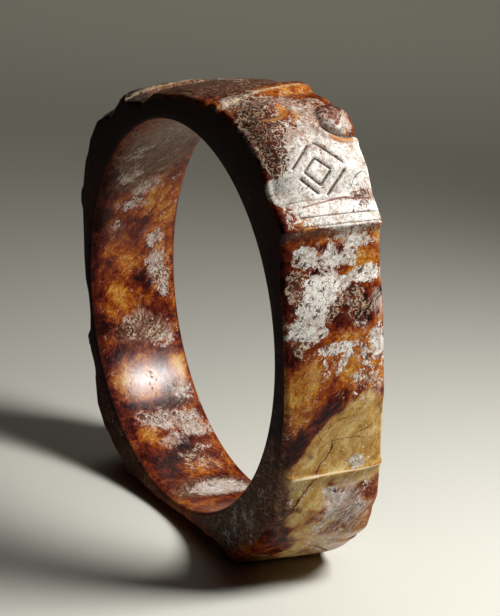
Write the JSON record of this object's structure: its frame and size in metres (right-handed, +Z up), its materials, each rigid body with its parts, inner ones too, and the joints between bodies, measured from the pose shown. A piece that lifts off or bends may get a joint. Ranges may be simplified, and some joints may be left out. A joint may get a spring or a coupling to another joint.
{
  "type": "carved jade bracelet",
  "caption": "Rigid carved stone bracelet: a polished ring with raised animal heads on its rounded-square outer side, incised lozenges, lips and ridges, and a round hole for the wrist.",
  "frame": {"origin": "the middle of the outline's box, on the ground under the standing ring", "axes": "+Y along the hole, away from the side face that the picture shows; +Z up, through the standing ring; +X to the right as seen from -Y"},
  "size_m": [0.0728, 0.016, 0.0712],
  "materials": {
    "jade": "polished, mottled red-brown, amber, olive and white stone with calcified patches and fine dark cracks"
  },
  "bodies": {
    "root": {"jade_bracelet": "jade"}
  },
  "joints": []
}
